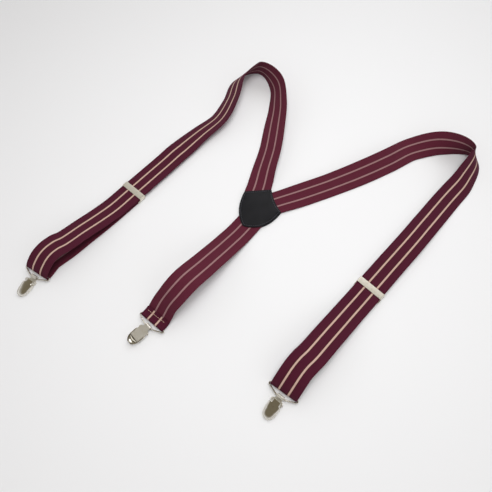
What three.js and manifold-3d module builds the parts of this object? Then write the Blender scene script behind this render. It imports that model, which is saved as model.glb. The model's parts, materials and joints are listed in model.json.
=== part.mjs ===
// Y-back suspenders laid out on a table: two long striped front straps and a short back strap
// sewn between leather patches, a slide adjuster and a doubled loop on each front strap,
// and a wire ring with a domed lever clip at each of the three ends.
// Millimetres, +Z up. The origin is the centre of the patch's underside, on the table;
// +X runs to the right and +Y away from the three clips' side.
import * as THREE from "three";
import { mergeVertices } from "three/addons/utils/BufferGeometryUtils.js";
import Module from "manifold-3d";

const wasm = await Module();
wasm.setup();

// ---- driving dimensions ----
const clearance = 0.3; // between pieces that touch or turn on each other
const webbingWidth = 35;
const webbingThickness = 1.3;
const halfWidth = webbingWidth / 2;
const halfThickness = webbingThickness / 2;

const leatherThickness = 1.2;
const threadRadius = 0.25;
const stitchMargin = 2.6; // from the patch's edge to its row of stitches
const stitchLine = 28; // length of the row across the back strap's folded end

const ringWire = 0.9; // radius
const ringDepth = 8; // wide bar to narrow bar
const narrowHalf = 5.6; // half of the narrow bar
const underRing = 0.5; // webbing above the table where it passes under the ring

const clipLength = 28.5; // narrow bar to the cover's tip
const coverHalf = 8;
const coverSheet = 0.8;
const coverTop = 2.9; // above the narrow bar's axis
const coverRim = -2.2;
const plateSheet = 0.9;
const plateEnd = 20.5; // narrow bar to the plate's free end
const lugHalf = 4.2;
const lugPlay = 0.8; // between the ring's wire and the rolled lug
const pinRadius = 0.7;
const pinAhead = 6.6; // narrow bar to hinge pin
const pinHeight = -0.6;
const earRadius = 1.55;
const gripThickness = 1.4;
const gripTeeth = 6;

const buckleLength = 8.4; // front plate, along the strap
const buckleSheet = 0.8;
const barWidth = 3; // rear bar
const barThickness = 1;
const barBehind = 6; // rear bar's middle behind the plate's middle
const leverReach = 7.5;
const leverRodRadius = 0.7;
const leverAhead = 1.5;
const foldLength = 12; // webbing sewn back on itself

// Heights at an adjuster, from the table up: webbing folded round the rear bar, then the
// front layer, then the front plate.
const foldHeight = 0.2 + halfThickness;
const barHeight = foldHeight + halfThickness + clearance + barThickness / 2;
const foldTop = 2 * barHeight - foldHeight;
const frontLift = foldTop + halfThickness + clearance;
const plateUnder = frontLift + webbingThickness + clearance;
const leverRodHeight = frontLift - clearance - leverRodRadius - buckleSheet / 2;

// Height of the ring's bars: webbing passes under the wide bar and over it again.
const wrapRadius = ringWire + clearance + halfThickness;
const ringHeight = underRing + halfThickness + wrapRadius;

const tableGap = 0.1; // under webbing that lies on the table
const degrees = Math.PI / 180;
const burgundy = new THREE.MeshStandardMaterial({ color: 0x5a1e34, roughness: 0.85, metalness: 0 });
const leather = new THREE.MeshStandardMaterial({ color: 0x232328, roughness: 0.6, metalness: 0 });
const thread = new THREE.MeshStandardMaterial({ color: 0x1b1b1f, roughness: 0.8, metalness: 0 });
const paleThread = new THREE.MeshStandardMaterial({ color: 0xc8a596, roughness: 0.8, metalness: 0 });
const nickel = new THREE.MeshStandardMaterial({ color: 0xc9c4b8, roughness: 0.2, metalness: 1 });
const clearPlastic = new THREE.MeshStandardMaterial({ color: 0xd8d6ce, roughness: 0.4, metalness: 0 });

// ---- solids ----
function solid(geometry) {
  const bare = geometry.clone();
  bare.deleteAttribute("normal");
  bare.deleteAttribute("uv");
  const merged = mergeVertices(bare.index ? bare.toNonIndexed() : bare, 1e-3);
  return new wasm.Manifold(
    new wasm.Mesh({
      numProp: 3,
      vertProperties: merged.attributes.position.array,
      triVerts: new Uint32Array(merged.index.array),
    }),
  );
}

function surfaceOf(body) {
  const { vertProperties, triVerts } = body.getMesh();
  const geometry = new THREE.BufferGeometry();
  geometry.setAttribute("position", new THREE.BufferAttribute(vertProperties, 3));
  geometry.setIndex(new THREE.BufferAttribute(triVerts, 1));
  return geometry;
}

function piece(name, geometry, material) {
  const mesh = new THREE.Mesh(geometry, material);
  mesh.name = name;
  return mesh;
}

function block(width, depth, height, x, y, z) {
  return new THREE.BoxGeometry(width, depth, height).translate(x, y, z);
}

// A round rod along X.
function rod(radius, length, x, y, z, sides = 16) {
  return new THREE.CylinderGeometry(radius, radius, length, sides).rotateZ(Math.PI / 2).translate(x, y, z);
}

// A sheet of even thickness on surface(u, v), u across from -1 to 1 and v along from 0 to 1.
// Its normal is the along direction crossed with the across direction.
function sheet(surface, thickness, acrossSteps, alongSteps) {
  const geometry = new THREE.BoxGeometry(2, 1, 1, acrossSteps, 1, alongSteps);
  const corners = geometry.attributes.position;
  const reach = 1e-3;
  for (let i = 0; i < corners.count; i++) {
    const u = corners.getX(i);
    const v = corners.getZ(i) + 0.5;
    const across = surface(Math.min(u + reach, 1), v).sub(surface(Math.max(u - reach, -1), v));
    const along = surface(u, Math.min(v + reach, 1)).sub(surface(u, Math.max(v - reach, 0)));
    const normal = along.cross(across).normalize();
    const point = surface(u, v).addScaledVector(normal, corners.getY(i) * thickness);
    corners.setXYZ(i, point.x, point.y, point.z);
  }
  return geometry;
}

// ---- webbing ----
// A station is a point on the webbing's centre line with the direction across it.
// Knots are [x, y, tilt, lift]. The tilt turns the webbing about its length: 0 with the dull
// face up, 180 or -180 with the bright face up, positive where the left edge rises first.
// The lift is the lowest edge above the table. Ghost knots shape the ends and carry no webbing.
function laidStations(knots, steps, ghostsBefore = 0, ghostsAfter = 0) {
  const spline = (points) => new THREE.CatmullRomCurve3(points, false, "catmullrom");
  const plan = spline(knots.map(([x, y]) => new THREE.Vector3(x, y, 0)));
  const pose = spline(knots.map(([, , tilt, lift]) => new THREE.Vector3(tilt, lift, 0)));
  const spans = knots.length - 1;
  return Array.from({ length: steps + 1 }, (_, i) => {
    const at = (ghostsBefore + (i / steps) * (spans - ghostsBefore - ghostsAfter)) / spans;
    const centre = plan.getPoint(at);
    const heading = plan.getTangent(at);
    const { x: tilt, y: lift } = pose.getPoint(at);
    const sine = Math.sin(tilt * degrees);
    const cosine = Math.cos(tilt * degrees);
    centre.z = Math.max(lift, tableGap) + halfWidth * Math.abs(sine) + halfThickness * Math.abs(cosine);
    const across = new THREE.Vector3(-heading.y * cosine, heading.x * cosine, sine);
    return { centre, across };
  });
}

// Stations on a side view, points [y, z] in the frame of a place, with ghost points at both ends.
function profileStations(profile, place, side, steps) {
  const points = profile.map(([y, z]) => new THREE.Vector3(0, y, z));
  const curve = new THREE.CatmullRomCurve3(points, false, "catmullrom");
  const turned = new THREE.Euler(0, 0, place.turn * degrees);
  const origin = new THREE.Vector3(place.x, place.y, 0);
  const spans = profile.length - 1;
  return Array.from({ length: steps + 1 }, (_, i) => ({
    centre: curve.getPoint((1 + (i / steps) * (spans - 2)) / spans).applyEuler(turned).add(origin),
    across: new THREE.Vector3(side, 0, 0).applyEuler(turned),
  }));
}

// The webbing through a list of stations. A slant cuts its start askew, by that much at its edges.
function webbing(stations, slant = 0) {
  const last = stations.length - 1;
  const slantStations = 6;
  const geometry = new THREE.BoxGeometry(webbingWidth, webbingThickness, 1, 1, 1, last);
  const corners = geometry.attributes.position;
  for (let i = 0; i < corners.count; i++) {
    const at = Math.round((corners.getZ(i) + 0.5) * last);
    const { centre, across } = stations[at];
    const along = stations[Math.min(at + 1, last)].centre.clone();
    along.sub(stations[Math.max(at - 1, 0)].centre).normalize();
    const normal = along.clone().cross(across).normalize();
    const askew = (slant * corners.getX(i) * Math.max(0, 1 - at / slantStations)) / halfWidth;
    const point = centre.clone().addScaledVector(across, corners.getX(i));
    point.addScaledVector(normal, corners.getY(i)).addScaledVector(along, askew);
    corners.setXYZ(i, point.x, point.y, point.z);
  }
  return geometry;
}

// Points [y, z] round a bar, from one angle to another in degrees.
function arc(y, z, radius, from, to, count) {
  return Array.from({ length: count }, (_, i) => {
    const angle = (from + ((to - from) * i) / (count - 1)) * degrees;
    return [y + radius * Math.cos(angle), z + radius * Math.sin(angle)];
  });
}

// ---- the three ends, the two adjusters and the routes between them ----
// A place's turn is about Z: its +Y points up the strap, away from the clip.
const ends = {
  left: { x: -283, y: -96, turn: -31, skew: 0, coverUp: true },
  right: { x: 25, y: -239.5, turn: -35, skew: -4, coverUp: true },
  back: { x: -130.6, y: -160.3, turn: -38.4, skew: -9, coverUp: false },
};
const adjusters = {
  left: { x: -175.5, y: 25.1, turn: -40.7 },
  right: { x: 137.5, y: -118.6, turn: -44 },
};
const strapLift = leatherThickness + clearance; // inside the patch

// Each strap starts inside the patch, at knots [x, y, tilt] with x and y in half widths of webbing.
// A loop's knots are [distance below the adjuster, offset to the right, tilt, rise].
const fronts = {
  left: {
    slant: -4,
    start: [
      [-0.23, 1.08, 0],
      [0.1, 2.1, -1],
    ],
    route: [
      [8, 62, -14, 0.4],
      [18, 98, -21, 0],
      [25, 138, -26, 0],
      [31, 179, -41, 0],
      [29, 220, -64, 0],
      [3, 251, -110, 0],
      [-29, 232, -132, 0],
      [-41, 193, -143, 0],
      [-58, 156, -156, 0],
      [-87, 127, -168, 1],
    ],
    loop: [
      [34, 0, -180, 0],
      [58, 0.5, -178, 2.5],
      [88, 2, -176, 6.5],
      [116, 3.5, -177, 10.5],
    ],
    brightUp: -180,
  },
  right: {
    slant: 6,
    start: [
      [1.05, 0.31, 0],
      [1.9, 0.6, 1.2],
    ],
    route: [
      [61, 20, 8, 0.3],
      [104, 37, 9, 0],
      [147, 55, 18, 0],
      [188, 75, 23, 0],
      [228, 98, 14, 0],
      [270, 100, 57, 0],
      [311, 81, 120, 0],
      [291, 43, 155, 0],
      [259, 9, 172, 0.5],
    ],
    loop: [
      [34, 0, 180, 0],
      [60, 0, 180, 4],
      [92, 0, 181, 9],
      [122, 0, 181, 13.5],
    ],
    brightUp: 180,
  },
};
const flatRun = [96, 64, 32]; // knots above each adjuster, where it slides
const curlStart = 22; // where the front layer starts to curl down to the ring
const curlHeight = 19;
const curlEnd = 7;
const returnEnd = 26; // where the returning layer meets its sewn end

function beside(place, distance, offset = 0) {
  const turned = place.turn * degrees;
  const x = place.x - distance * Math.sin(turned) + offset * Math.cos(turned);
  const y = place.y + distance * Math.cos(turned) + offset * Math.sin(turned);
  return [x, y];
}

// From the patch to the middle of the adjuster's plate.
function frontStrap(name) {
  const { slant, start, route, loop, brightUp } = fronts[name];
  const adjuster = adjusters[name];
  const knots = [
    ...start.map(([x, y, tilt], i) => [x * halfWidth, y * halfWidth, tilt, strapLift - 0.15 * i]),
    ...route,
    ...flatRun.map((distance) => [...beside(adjuster, distance), brightUp, frontLift]),
    [...beside(adjuster, clearance / 2), brightUp, frontLift],
    [...beside(adjuster, -loop[0][0]), brightUp, frontLift],
  ];
  return webbing(laidStations(knots, 96, 0, 1), slant);
}

// From the adjuster down to the top of the curl.
function frontLayer(name) {
  const { loop, brightUp } = fronts[name];
  const adjuster = adjusters[name];
  const end = ends[name];
  const knots = [
    [...beside(adjuster, flatRun.at(-1)), brightUp, frontLift],
    [...beside(adjuster, -clearance / 2), brightUp, frontLift],
    ...loop.map(([down, offset, tilt, rise]) => {
      return [...beside(adjuster, -down, -offset), tilt, frontLift + rise];
    }),
    [...beside(end, curlStart * 1.5), brightUp, curlHeight - halfThickness - 0.6],
    [...beside(end, curlStart + clearance), brightUp, curlHeight - halfThickness],
    [...beside(end, curlStart / 2), brightUp, curlHeight * 0.9 - halfThickness],
  ];
  return webbing(laidStations(knots, 36, 1, 1));
}

// Down, round the ring's wide bar and back under it.
function curl(name) {
  const under = underRing + halfThickness;
  const profile = [
    [curlStart * 1.5, curlHeight - 0.6],
    [curlStart, curlHeight],
    [curlStart / 2, curlHeight * 0.9],
    [3, curlHeight * 0.64],
    [-1.4, curlHeight * 0.34],
    ...arc(0, ringHeight, wrapRadius, 180, 270, 3),
    [curlEnd, under],
    [curlEnd * 2, under],
  ];
  return webbing(profileStations(profile, ends[name], -1, 28));
}

// Flat on the table, back up to the adjuster.
function returnLayer(name) {
  const { loop } = fronts[name];
  const adjuster = adjusters[name];
  const end = ends[name];
  const knots = [
    [...beside(end, 0), 0, underRing],
    [...beside(end, curlEnd + clearance), 0, underRing],
    [...beside(end, curlStart), 0, underRing],
    ...loop.toReversed().map(([down, offset]) => [...beside(adjuster, -down, -offset), 0, underRing]),
    [...beside(adjuster, -returnEnd - clearance), 0, foldHeight - halfThickness],
    [...beside(adjuster, -returnEnd / 2), 0, foldHeight - halfThickness],
  ];
  return webbing(laidStations(knots, 24, 1, 1));
}

// Folded round the adjuster's rear bar and sewn back on itself.
function sewnEnd(name) {
  const bend = -barBehind + barWidth / 2;
  const profile = [
    [-returnEnd * 1.5, foldHeight],
    [-returnEnd, foldHeight],
    [(bend - returnEnd) / 2, foldHeight],
    ...arc(bend, barHeight, barHeight - foldHeight, -90, 90, 5),
    [bend - foldLength * 0.3, foldTop],
    [bend - foldLength * 0.7, foldTop - 0.5],
    [bend - foldLength, foldTop - 0.8],
    [bend - foldLength * 1.3, foldTop - 0.8],
  ];
  return webbing(profileStations(profile, adjusters[name], -1, 26));
}

// Over a hump from the patch, under the back ring's wide bar, round it and back on top.
function backStrap() {
  const end = ends.back;
  const under = underRing + halfThickness;
  const knots = [
    [-0.57 * halfWidth, -1.09 * halfWidth, 0, strapLift],
    [-1.15 * halfWidth, -1.8 * halfWidth, 0, strapLift],
    [-1.75 * halfWidth, -2.55 * halfWidth, 0, strapLift + 1.5],
    [-47, -65, 0, 10],
    [-70, -94, -2, 22],
    [-90, -117, -5, 28],
    [-105, -133, -4, 23.5],
    [...beside(end, 22), -1, 12.5],
    [...beside(end, 15), 0, 6],
  ];
  const over = 2 * ringHeight - under;
  const profile = [
    [30, 19.5],
    [22, 12.5 + halfThickness],
    [15, 6 + halfThickness],
    [9.5, 2.6],
    [4, under],
    ...arc(0, ringHeight, wrapRadius, 270, 90, 7),
    [4, over - 0.4],
    [7.5, over - 0.2],
    [10.5, over + 0.9],
    [14, over + 2],
  ];
  const hump = laidStations(knots, 44, 0, 1);
  const fold = profileStations(profile, end, 1, 44);
  return webbing([...hump, ...fold.slice(1)]);
}

// ---- patch ----
// Drawn in half widths of webbing: straight across each strap, rounded everywhere else.
function patchOutline() {
  const h = halfWidth;
  return new THREE.Shape()
    .moveTo(-1.14 * h, 1.43 * h)
    .lineTo(1.03 * h, 1.6 * h)
    .quadraticCurveTo(1.12 * h, 0.45 * h, 1.72 * h, -0.5 * h)
    .quadraticCurveTo(1.05 * h, -1.45 * h, 0.1 * h, -1.78 * h)
    .quadraticCurveTo(-0.75 * h, -1.95 * h, -1.3 * h, -1.68 * h)
    .quadraticCurveTo(-1.95 * h, -0.1 * h, -1.14 * h, 1.43 * h);
}

function leatherLayer(under) {
  const settings = { depth: leatherThickness, bevelEnabled: false, curveSegments: 10 };
  return new THREE.ExtrudeGeometry(patchOutline(), settings).translate(0, 0, under);
}

// One closed run of thread, inside the patch's edge.
function patchThread(height) {
  const shrink = 1 - stitchMargin / (1.6 * halfWidth);
  const points = patchOutline().getSpacedPoints(40).slice(1);
  const run = points.map(({ x, y }) => new THREE.Vector3(x * shrink, y * shrink, height));
  return new THREE.TubeGeometry(new THREE.CatmullRomCurve3(run, true), 64, threadRadius, 4, true);
}

// ---- clips ----
// A clip's own frame has its origin on the ring's narrow bar, +Y up the strap and the domed
// cover on +Z. Its outline and its cover's crown both round off towards the tip.
const shoulder = 16; // narrow bar to where the outline starts to round off
const plateHalf = coverHalf - coverSheet - clearance;

function ringWireLoop() {
  const wide = halfWidth + clearance + ringWire + 0.1;
  const webbingFace = wrapRadius + halfThickness + clearance; // the side wires flare in past it
  const right = [
    [wide - 3, 0],
    [wide - 0.4, -0.5],
    [wide, 0.6 - webbingFace],
    [wide - 2, -1.3 - webbingFace],
    [narrowHalf + 5, -6.2],
    [narrowHalf + 1, -ringDepth + 0.5],
    [narrowHalf - 1, -ringDepth],
  ];
  const left = right.map(([x, y]) => [-x, y]).reverse();
  const points = [...right, ...left].map(([x, y]) => new THREE.Vector3(x, y, 0));
  const loop = new THREE.CatmullRomCurve3(points, true, "centripetal");
  return new THREE.TubeGeometry(loop, 56, ringWire, 6, true);
}

// Flat plate, narrower neck and the lug rolled round the ring, from one sheet.
function plateBlank() {
  const rollRadius = ringWire + lugPlay + plateSheet / 2;
  const rollAngle = 230 * degrees;
  const length = plateEnd + rollRadius * rollAngle;
  const half = (distance) => {
    const neck = Math.min(Math.max(distance - plateEnd + 4.4, 0), 1);
    const chamfer = Math.max(0, 1.2 - distance);
    return plateHalf + (lugHalf - plateHalf) * neck - chamfer;
  };
  const surface = (u, v) => {
    const distance = v * length;
    const angle = Math.max(0, (distance - plateEnd) / rollRadius);
    const y = Math.min(distance - plateEnd, 0) + rollRadius * Math.sin(angle);
    return new THREE.Vector3(-u * half(distance), y, -rollRadius * Math.cos(angle));
  };
  return sheet(surface, plateSheet, 1, 34);
}

function backPlate() {
  const plateTop = -(ringWire + lugPlay);
  let plate = solid(plateBlank());
  for (const side of [-1, 1]) {
    const x = side * (plateHalf - plateSheet / 2);
    const foot = (plateTop + pinHeight) / 2 - 0.2;
    const ear = solid(block(plateSheet, 2 * earRadius, pinHeight - plateTop + 0.4, x, -pinAhead, foot));
    plate = plate.add(ear).add(solid(rod(earRadius, plateSheet, x, -pinAhead, pinHeight)));
  }
  const hole = rod(pinRadius + clearance / 2, 2 * coverHalf + 4, 0, -pinAhead, pinHeight);
  return surfaceOf(plate.subtract(solid(hole)));
}

// How far a point past the shoulder is towards the tip, and how much of the width is left there.
function leftAt(share, bluntness) {
  return Math.pow(1 - Math.pow(share, bluntness), 1 / bluntness);
}

function cover() {
  const half = coverHalf - coverSheet / 2;
  const crown = coverTop - coverSheet / 2 - coverRim;
  const tip = clipLength - coverSheet / 2;
  const surface = (u, v) => {
    const side = Math.pow(Math.abs(u), 6);
    const top = pinAhead - 0.8 - 1.5 * side;
    const distance = top + v * (tip - top - 0.25);
    const share = Math.max(0, (distance - shoulder) / (tip - shoulder));
    const square = 2 / (5 - 2.4 * Math.min(1, Math.max(0, (distance - 10) / 8)));
    const angle = (u * Math.PI) / 2;
    const x = Math.sign(u) * Math.pow(Math.abs(Math.sin(angle)), square) * half * leftAt(share, 2.3);
    const z = coverRim + Math.pow(Math.abs(Math.cos(angle)), square) * crown * leftAt(share, 2.6);
    return new THREE.Vector3(x, -distance, z);
  };
  const shell = solid(sheet(surface, coverSheet, 16, 16));
  const hole = rod(pinRadius + clearance / 2, 2 * coverHalf + 4, 0, -pinAhead, pinHeight);
  return surfaceOf(shell.subtract(solid(hole)));
}

// A flat piece with saw teeth along one edge, drawn from the teeth's line towards +Y.
function comb(halfLength, toothDepth, teeth, backEdge, thickness) {
  const outline = new THREE.Shape().moveTo(-halfLength, toothDepth);
  for (let i = 0; i < teeth; i++) {
    const step = (2 * halfLength) / teeth;
    outline.lineTo(-halfLength + (i + 0.5) * step, 0);
    outline.lineTo(-halfLength + (i + 1) * step, toothDepth);
  }
  backEdge.forEach(([x, y]) => outline.lineTo(x, y));
  return new THREE.ExtrudeGeometry(outline, { depth: thickness, bevelEnabled: false });
}

// The plastic grip fills the cover's nose and bites against the plate's end.
function gripPad() {
  const half = coverHalf - coverSheet - 3 * clearance;
  const tip = clipLength - coverSheet - 4 * clearance;
  const start = plateEnd + clearance;
  const corner = half * leftAt((start + 0.8 - shoulder) / (tip - shoulder), 2.3);
  const nose = Array.from({ length: 9 }, (_, i) => {
    const x = corner * Math.cos((i / 8) * Math.PI);
    return [x, (tip - shoulder) * leftAt(Math.abs(x) / half, 2.3) + shoulder - start];
  });
  const pad = comb(corner, 0.8, gripTeeth, nose, gripThickness);
  return pad.rotateX(Math.PI).translate(0, -start, coverRim + 0.2 + gripThickness);
}

function hingePin() {
  return rod(pinRadius, 2 * coverHalf + 0.8, 0, -pinAhead, pinHeight);
}

function clip(name) {
  const { x, y, turn, skew, coverUp } = ends[name];
  const place = new THREE.Group();
  place.position.set(x, y, ringHeight);
  place.rotation.z = turn * degrees;
  place.add(piece(`${name}_ring`, ringWireLoop(), nickel));

  const body = new THREE.Group();
  body.position.y = -ringDepth;
  body.rotation.set(0, coverUp ? 0 : Math.PI, skew * degrees, "ZYX");
  body.add(
    piece(`${name}_clip_back_plate`, backPlate(), nickel),
    piece(`${name}_clip_cover`, cover(), nickel),
    piece(`${name}_clip_grip`, gripPad(), clearPlastic),
    piece(`${name}_clip_hinge_pin`, hingePin(), nickel),
  );
  place.add(body);
  return place;
}

// ---- adjusters ----
// An adjuster's own frame stands on the table under the middle of its plate, +Y up the strap.
const plateTop = plateUnder + buckleSheet;
const rodHole = leverRodRadius + clearance / 2;

function buckleFrame() {
  const outer = halfWidth + clearance + buckleSheet;
  const foot = barHeight - barThickness / 2 - 0.8;
  const shelf = barHeight + barThickness / 2 + 0.8;
  const back = -barBehind - barWidth / 2 - 0.9;
  const front = buckleLength / 2;
  const outline = new THREE.Shape()
    .moveTo(back, foot)
    .lineTo(front, foot + 0.4)
    .lineTo(front, plateTop)
    .lineTo(-front, plateTop)
    .lineTo(-front, shelf)
    .lineTo(back, shelf);
  const slotHalf = barWidth / 2 + clearance / 2;
  const slotRise = barThickness / 2 + clearance / 2;
  const slot = new THREE.Path()
    .moveTo(-barBehind - slotHalf, barHeight - slotRise)
    .lineTo(-barBehind + slotHalf, barHeight - slotRise)
    .lineTo(-barBehind + slotHalf, barHeight + slotRise)
    .lineTo(-barBehind - slotHalf, barHeight + slotRise);
  const round = new THREE.Path().absarc(leverAhead, leverRodHeight, rodHole, 0, 2 * Math.PI);
  outline.holes.push(slot, round);
  const toEar = new THREE.Matrix4().makeBasis(
    new THREE.Vector3(0, 1, 0),
    new THREE.Vector3(0, 0, 1),
    new THREE.Vector3(1, 0, 0),
  );
  const settings = { depth: buckleSheet, bevelEnabled: false, curveSegments: 8 };
  const ear = new THREE.ExtrudeGeometry(outline, settings);
  ear.applyMatrix4(toEar);
  const plate = block(2 * outer, buckleLength, buckleSheet, 0, 0, plateUnder + buckleSheet / 2);
  const leftEar = ear.clone().translate(-outer, 0, 0);
  const rightEar = ear.translate(outer - buckleSheet, 0, 0);
  return surfaceOf(solid(plate).add(solid(leftEar)).add(solid(rightEar)));
}

function rearBar() {
  const length = webbingWidth + 2 * (clearance + buckleSheet) + 0.4;
  return block(length, barWidth, barThickness, 0, -barBehind, barHeight);
}

// A toothed lever on its rod: it nips the strap against the plate, and swings down to free it.
function lever() {
  const half = halfWidth - 1.5;
  const backEdge = [
    [half, leverReach],
    [-half, leverReach],
  ];
  const blade = comb(half, 1, 14, backEdge, buckleSheet);
  blade.rotateZ(Math.PI).translate(0, leverAhead + leverReach, leverRodHeight - buckleSheet / 2);
  const length = webbingWidth + 2 * (clearance + buckleSheet) + 0.6;
  return surfaceOf(solid(blade).add(solid(rod(leverRodRadius, length, 0, leverAhead, leverRodHeight))));
}

function adjuster(name) {
  const { x, y, turn } = adjusters[name];
  const place = new THREE.Group();
  place.position.set(x, y, 0);
  place.rotation.z = turn * degrees;
  place.add(
    piece(`${name}_adjuster_frame`, buckleFrame(), nickel),
    piece(`${name}_adjuster_rear_bar`, rearBar(), nickel),
    piece(`${name}_adjuster_lever`, lever(), nickel),
  );
  return place;
}

// Thread across the back strap's folded end, in the frame of the back ring.
function foldThread() {
  const { x, y, turn } = ends.back;
  const height = 2 * ringHeight - underRing + clearance + threadRadius;
  const row = piece("back_strap_stitching", rod(threadRadius, stitchLine, 0, 7.5, height, 6), paleThread);
  const place = new THREE.Group();
  place.position.set(x, y, 0);
  place.rotation.z = turn * degrees;
  place.add(row);
  return place;
}

// ---- the whole pair of suspenders ----
const suspenders = new THREE.Group();
const strapLevelTop = strapLift + webbingThickness + clearance;
suspenders.add(
  piece("patch_bottom_leather", leatherLayer(0), leather),
  piece("patch_top_leather", leatherLayer(strapLevelTop), leather),
  piece("patch_stitching", patchThread(strapLevelTop + leatherThickness + clearance + threadRadius), thread),
  piece("back_strap", backStrap(), burgundy),
  foldThread(),
);
for (const name of ["left", "right"]) {
  suspenders.add(
    piece(`${name}_strap`, frontStrap(name), burgundy),
    piece(`${name}_strap_front_layer`, frontLayer(name), burgundy),
    piece(`${name}_strap_curl`, curl(name), burgundy),
    piece(`${name}_strap_return_layer`, returnLayer(name), burgundy),
    piece(`${name}_strap_sewn_end`, sewnEnd(name), burgundy),
    adjuster(name),
    clip(name),
  );
}
suspenders.add(clip("back"));

export default suspenders;
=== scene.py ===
"""Y-back suspenders lying on a table: striped elastic webbing sewn into a leather patch, with bent wire
rings, sprung clips and slide adjusters in nickel. Pieces are worked out in millimetres, in the frame of
the hinge that they belong to, and written to their meshes in metres.
"""

import json

import bmesh
import bpy
import numpy as np
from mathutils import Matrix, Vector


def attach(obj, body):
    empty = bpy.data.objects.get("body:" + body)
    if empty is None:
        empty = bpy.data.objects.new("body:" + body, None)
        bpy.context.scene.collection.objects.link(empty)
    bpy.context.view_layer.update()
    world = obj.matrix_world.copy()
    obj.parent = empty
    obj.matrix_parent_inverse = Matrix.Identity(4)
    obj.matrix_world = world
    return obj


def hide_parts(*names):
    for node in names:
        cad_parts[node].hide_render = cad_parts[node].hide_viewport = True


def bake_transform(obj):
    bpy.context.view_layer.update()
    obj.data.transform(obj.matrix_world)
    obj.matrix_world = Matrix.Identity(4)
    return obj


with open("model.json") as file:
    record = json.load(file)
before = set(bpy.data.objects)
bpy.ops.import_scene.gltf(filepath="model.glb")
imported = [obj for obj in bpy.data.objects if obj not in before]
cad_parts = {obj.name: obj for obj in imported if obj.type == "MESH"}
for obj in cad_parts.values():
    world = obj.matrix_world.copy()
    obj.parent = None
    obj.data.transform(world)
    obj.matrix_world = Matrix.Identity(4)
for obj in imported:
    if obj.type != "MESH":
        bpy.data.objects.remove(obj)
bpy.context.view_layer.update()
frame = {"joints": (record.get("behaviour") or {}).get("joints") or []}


# ---- Table, daylight and camera ----
# The suspenders lie on a white tabletop under a wide soft light, with a window behind on the right.
# The camera looks down on them from the side of the clips.
MM = 0.001


def table_top():
    """A flat square of 8 m, with its surface where the lowest webbing rests."""
    mesh = bpy.data.meshes.new("table")
    corners = np.array([[-1, -1, 0], [1, -1, 0], [1, 1, 0], [-1, 1, 0]]) * 4.0
    mesh.from_pydata(corners.tolist(), [], [(0, 1, 2, 3)])
    table = bpy.data.objects.new("table", mesh)
    bpy.context.scene.collection.objects.link(table)
    white = bpy.data.materials.new("white_table")
    white.use_nodes = True
    shader = white.node_tree.nodes["Principled BSDF"]
    shader.inputs["Base Color"].default_value = (0.83, 0.83, 0.84, 1)
    shader.inputs["Roughness"].default_value = 0.6
    mesh.materials.append(white)
    return table


def soft_light(name, place, aim, size, power, colour):
    """A square area light of that size in metres and power in watts, turned to its aim."""
    lamp = bpy.data.lights.new(name, "AREA")
    lamp.size = size
    lamp.energy = power
    lamp.color = colour
    light = bpy.data.objects.new(name, lamp)
    bpy.context.scene.collection.objects.link(light)
    light.location = place
    light.rotation_euler = (Vector(aim) - Vector(place)).to_track_quat("-Z", "Y").to_euler()
    return light


table_top()
overhead = soft_light("overhead", (0.03, -0.1, 0.95), (0.03, -0.1, 0), 0.6, 5.8, (0.98, 0.99, 1.0))
overhead.visible_glossy = False  # the metal mirrors the room, and not this lamp
soft_light("window", (0.6, 1.3, 1.4), (0, 0, 0), 1.2, 11, (0.97, 0.985, 1.0))

# The room has furniture in a dark band, pale walls and a brown ceiling. Each tone comes after the
# height of the direction looked in where it starts.
room_tones = [(0.09, (0.6, 0.6, 0.61)), (0.14, (0.04, 0.04, 0.045)), (0.21, (0.04, 0.04, 0.045)),
              (0.27, (1.0, 1.0, 1.03)), (0.5, (0.75, 0.75, 0.77)), (0.82, (0.18, 0.155, 0.11))]
room = bpy.data.worlds.new("room")
room.use_nodes = True
nodes, links = room.node_tree.nodes, room.node_tree.links
direction = nodes.new("ShaderNodeTexCoord")
height = nodes.new("ShaderNodeSeparateXYZ")
links.new(direction.outputs["Generated"], height.inputs["Vector"])
ramp = nodes.new("ShaderNodeValToRGB")
links.new(height.outputs["Z"], ramp.inputs["Fac"])
stops = ramp.color_ramp.elements
while len(stops) < len(room_tones):
    stops.new(0.5)
for stop, (start, tone) in zip(stops, room_tones):
    stop.position = start
    stop.color = (*tone, 1)
links.new(ramp.outputs["Color"], nodes["Background"].inputs["Color"])
bpy.context.scene.world = room

lens = bpy.data.cameras.new("camera")
lens.sensor_width = 36
lens.lens = 29.3
camera = bpy.data.objects.new("camera", lens)
camera.location = (-0.018, -0.2839, 0.480)
camera.rotation_euler = (np.radians(25.2), 0, 0)
bpy.context.scene.collection.objects.link(camera)
bpy.context.scene.camera = camera
bpy.context.scene.view_settings.view_transform = "Standard"


# ---- Webbing ----
# Burgundy elastic webbing, 35 mm wide, with two pale stripes woven in along it. One face is bright and
# the other dull. Each front strap runs from the patch through its adjuster, round its ring and back.
webbing_width = 35
webbing_thickness = 1.3
half_width = webbing_width / 2
half_thickness = webbing_thickness / 2
slant_reach = 40
clearance = 0.3
hinges = {joint["name"]: joint for joint in frame["joints"]}


def place_at(hinge, up_strap=None):
    """A hinge's origin in millimetres and its X, Y and Z directions, as four rows. X runs against the
    hinge's axis, Y is level and square to it, towards up_strap, and Z is X cross Y."""
    x = -np.array(hinges[hinge]["axis"])
    y = np.cross([0, 0, 1], x)
    if up_strap is not None and y @ up_strap < 0:
        y = -y
    return np.array([np.array(hinges[hinge]["pos_m"]) / MM, x, y, np.cross(x, y)])


def put(place, points):
    """Points given in a place's own frame, moved to where that place is."""
    return place[0] + np.asarray(points, float) @ place[1:]


def on_table(place):
    """The same place, straight below on the table."""
    return np.vstack([place[0] * [1, 1, 0], place[1:]])


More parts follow.
